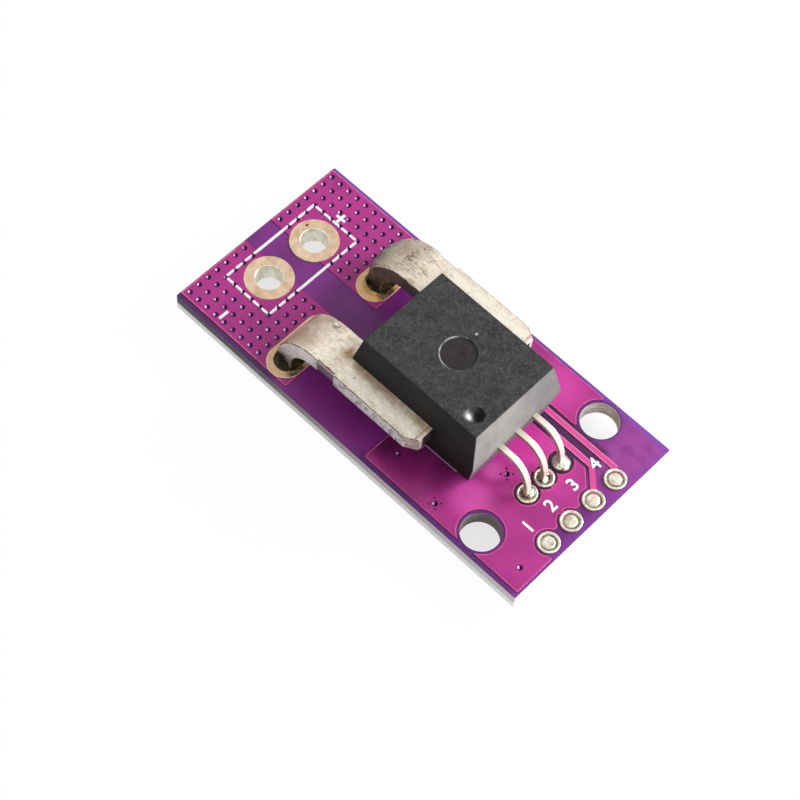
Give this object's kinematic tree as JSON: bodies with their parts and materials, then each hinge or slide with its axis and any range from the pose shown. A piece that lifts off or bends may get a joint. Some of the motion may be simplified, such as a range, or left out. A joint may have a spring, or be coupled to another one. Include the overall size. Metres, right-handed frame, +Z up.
{
  "type": "hall effect current sensor",
  "caption": "Hall effect current sensor module: a moulded sensor with thick bent terminals on a small board with power pads, signal pads and mounting holes.",
  "frame": {"origin": "under the middle of the board, at the level of the trimmed lead ends that the part stands on", "axes": "+Z up out of the board's component side, +X along the board towards the signal header, +Y across it towards the plus side"},
  "size_m": [0.0366, 0.0178, 0.0099],
  "materials": {
    "board_mask": "dark purple solder mask over glass-fibre board",
    "mask_copper": "purple solder mask over copper, pinker than on bare board",
    "plated_pad": "warm tin-coloured plating",
    "solder": "bright satin solder",
    "tinned_terminal": "mottled, part-tarnished tin plate",
    "tinned_lead": "bright tin plate",
    "moulding": "fine matt moulded epoxy",
    "white_ink": "flat printed ink",
    "core_metal": "soft magnetic metal, sealed in the case",
    "silicon": "polished chip, sealed in the case",
    "bond_metal": "fine gold-coloured wire, sealed in the case",
    "capacitor_ceramic": "tan fired ceramic",
    "resistor_film": "black glaze"
  },
  "bodies": {
    "root": {"circuit_board": "board_mask", "top_copper_plus": "mask_copper", "top_copper_minus": "mask_copper", "top_copper_ground": "mask_copper", "bottom_copper_plus": "mask_copper", "bottom_copper_minus": "mask_copper", "bottom_copper_ground": "mask_copper", "top_trace_direct": "mask_copper", "top_trace_filtered": "mask_copper", "bottom_trace_supply": "mask_copper", "bottom_trace_direct": "mask_copper", "bottom_trace_filtered": "mask_copper", "via_barrels_plus": "mask_copper", "via_barrels_minus": "mask_copper", "via_barrels_ground": "mask_copper", "via_barrels_signal": "mask_copper", "power_eyelet_plus": "plated_pad", "power_eyelet_minus": "plated_pad", "slot_eyelet_plus": "plated_pad", "slot_eyelet_minus": "plated_pad", "signal_eyelet_supply": "plated_pad", "signal_eyelet_ground": "plated_pad", "signal_eyelet_output": "plated_pad", "header_eyelet_supply": "plated_pad", "header_eyelet_ground": "plated_pad", "header_eyelet_direct": "plated_pad", "header_eyelet_filtered": "plated_pad", "primary_conductor": "tinned_terminal", "terminal_solder_plus": "solder", "terminal_solder_minus": "solder", "signal_lead_supply": "tinned_lead", "signal_lead_ground": "tinned_lead", "signal_lead_output": "tinned_lead", "signal_solder": "solder", "header_solder": "solder", "sensor_case": "moulding", "flux_core": "core_metal", "hall_die": "silicon", "bond_wires": "bond_metal", "legend_frame": "white_ink", "legend_signs": "white_ink", "bypass_capacitor": "capacitor_ceramic", "bypass_capacitor_ends": "solder", "filter_resistor": "resistor_film", "filter_resistor_ends": "solder", "filter_capacitor": "capacitor_ceramic", "filter_capacitor_ends": "solder", "chip_solder": "solder"}
  },
  "joints": []
}
